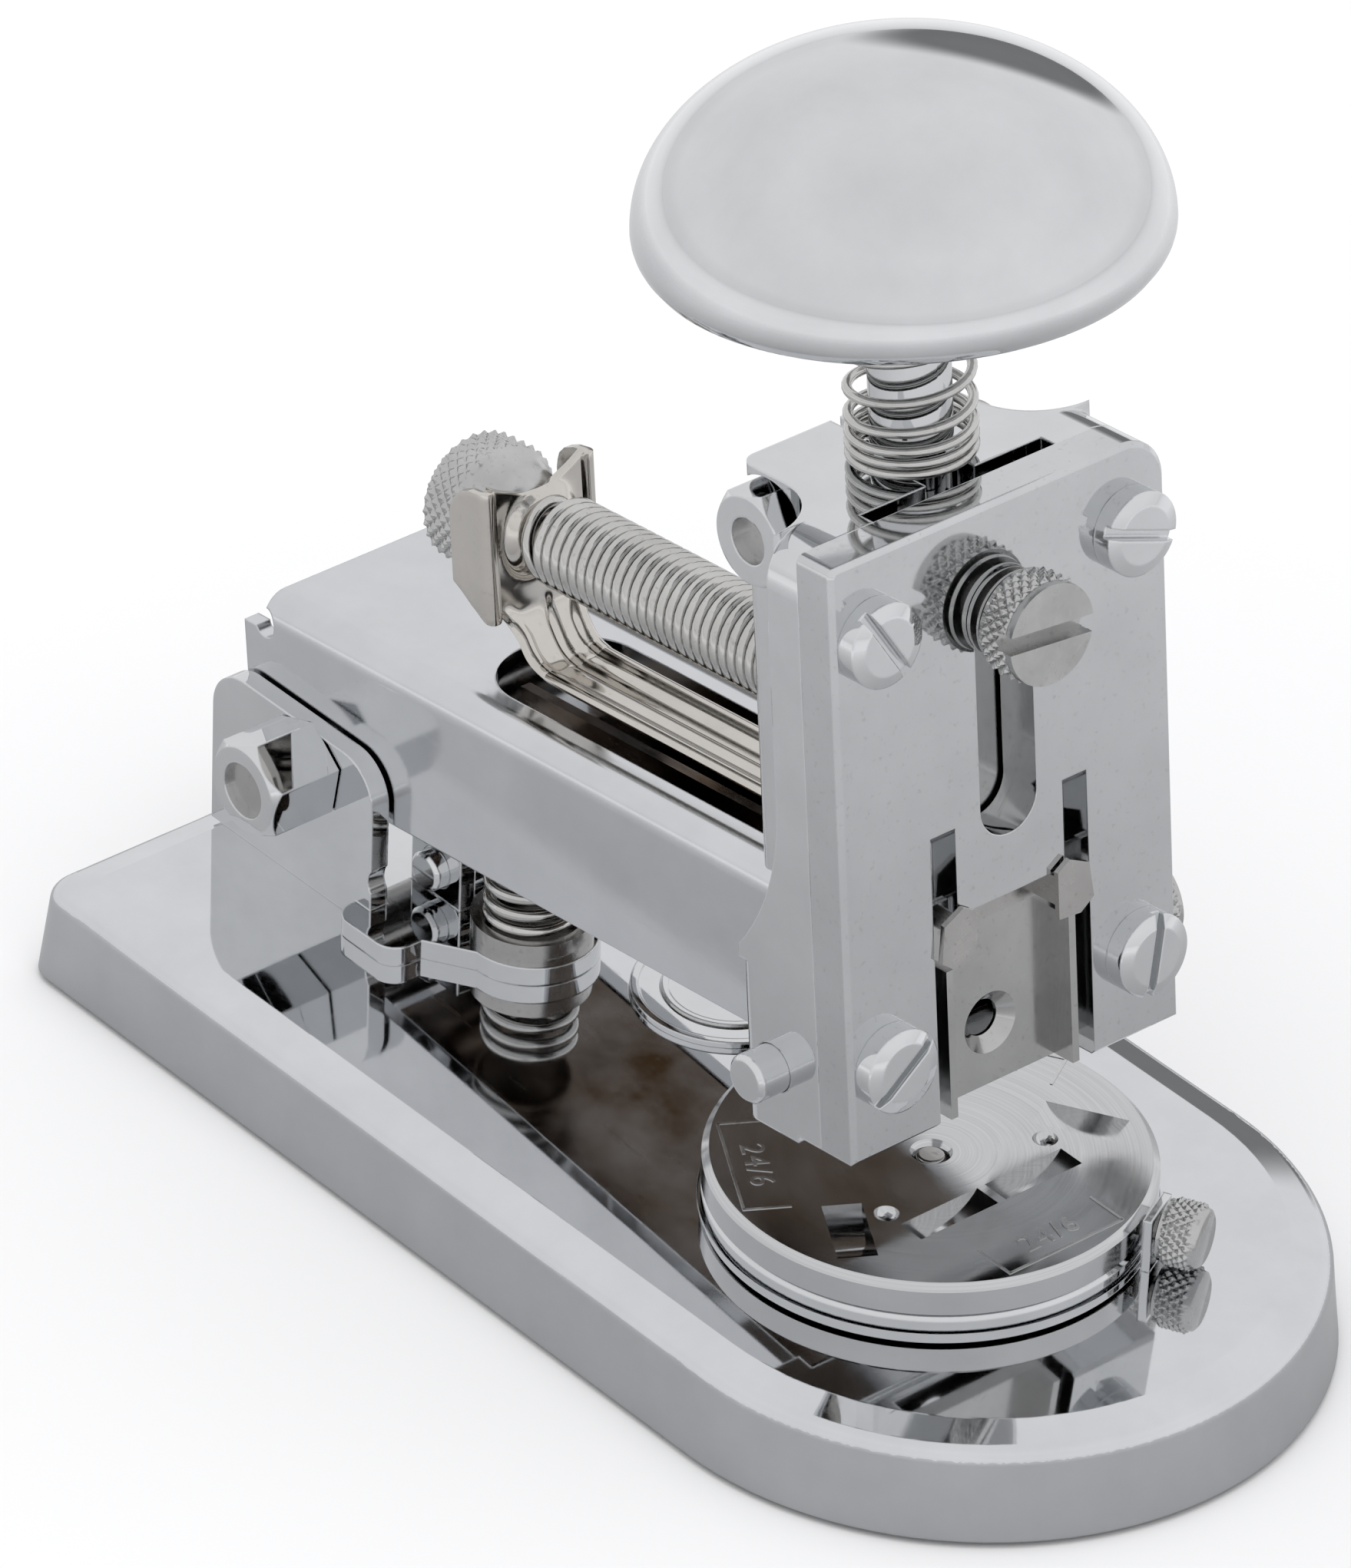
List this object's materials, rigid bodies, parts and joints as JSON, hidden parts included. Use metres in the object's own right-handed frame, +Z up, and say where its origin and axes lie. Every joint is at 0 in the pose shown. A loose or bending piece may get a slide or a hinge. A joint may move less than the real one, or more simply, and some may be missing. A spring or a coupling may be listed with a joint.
{
  "type": "desk stapler",
  "caption": "Chrome desk stapler with a domed push knob on a sprung plunger, a raised magazine arm with a spring pusher, and a turning anvil disc on a heavy base.",
  "frame": {"origin": "centre of the footprint, at the surface the base pad rests on", "axes": "+X towards the anvil end, +Z up, -Y towards the side with the hinge nut"},
  "size_m": [0.117, 0.06, 0.1122],
  "materials": {
    "chrome": "polished",
    "brushed": "circular brushed",
    "steel": "satin",
    "spring": "drawn wire",
    "nickel": "warm nickel plate",
    "knurl": "knurled",
    "felt_pad": "matt"
  },
  "bodies": {
    "base": {"base_plate": "chrome", "base_pad": "felt_pad", "medallion": "chrome", "anvil_ring": "chrome", "anvil_pivot": "steel", "disc_lock_post": "chrome", "hinge_bracket": "chrome", "bracket_screws": "steel", "hinge_bolt": "steel", "hinge_nut": "chrome", "cross_pin": "steel", "spring_cup": "steel", "lift_spring": "spring"},
    "arm": {"arm_shell": "chrome", "magazine_rail": "steel", "hinge_sleeve": "steel", "head_block": "chrome", "front_plate": "chrome", "plate_screws": "chrome", "staple_guide": "steel", "staple_clip": "steel", "clamp_bolt": "steel", "clamp_nut": "chrome", "plunger_spring": "spring", "pusher_spring": "spring"},
    "plunger": {"push_knob": "chrome", "knob_collar": "chrome", "plunger_shaft": "chrome", "driver_carrier": "steel", "driver_blade": "steel", "thumbscrew": "chrome"},
    "pusher": {"pusher_plate": "nickel", "pusher_foot": "steel", "pusher_rod": "steel", "rod_knob": "nickel"},
    "lock_pin": {"lock_pin": "chrome", "lock_pin_knob": "knurl"},
    "anvil_disc": {"anvil_disc": "brushed"},
    "disc_lock": {"disc_lock_pin": "steel", "disc_lock_knob": "knurl"}
  },
  "joints": [
    {"name": "arm_tilt", "type": "hinge", "parent": "base", "child": "arm", "pos_m": [-0.043, 0, 0.02175], "axis": [0, 1, 0], "range_deg": [0, 8], "stiffness_Nm_per_rad": 1.2, "springref_deg": -20.05, "deforming": ["lift_spring"]},
    {"name": "plunger_press", "type": "slide", "parent": "arm", "child": "plunger", "axis": [0.1149, 0, -0.9934], "range_m": [0, 0.013], "stiffness_N_per_m": 350, "springref_m": -0.012, "deforming": ["plunger_spring"]},
    {"name": "pusher_pull", "type": "slide", "parent": "arm", "child": "pusher", "axis": [-0.9934, 0, -0.1149], "range_m": [0, 0.024], "stiffness_N_per_m": 60, "springref_m": -0.02, "deforming": ["pusher_spring"]},
    {"name": "lock_pin_pull", "type": "slide", "parent": "arm", "child": "lock_pin", "axis": [0, 1, 0], "range_m": [0, 0.012]},
    {"name": "anvil_turn", "type": "hinge", "parent": "base", "child": "anvil_disc", "pos_m": [0.0229, 0, 0.0127], "axis": [0, 0, 1], "continuous": true},
    {"name": "disc_lock_turn", "type": "hinge", "parent": "base", "child": "disc_lock", "pos_m": [0.0425, 0.00999, 0.0127], "axis": [0.891, 0.454, 0], "continuous": true}
  ]
}
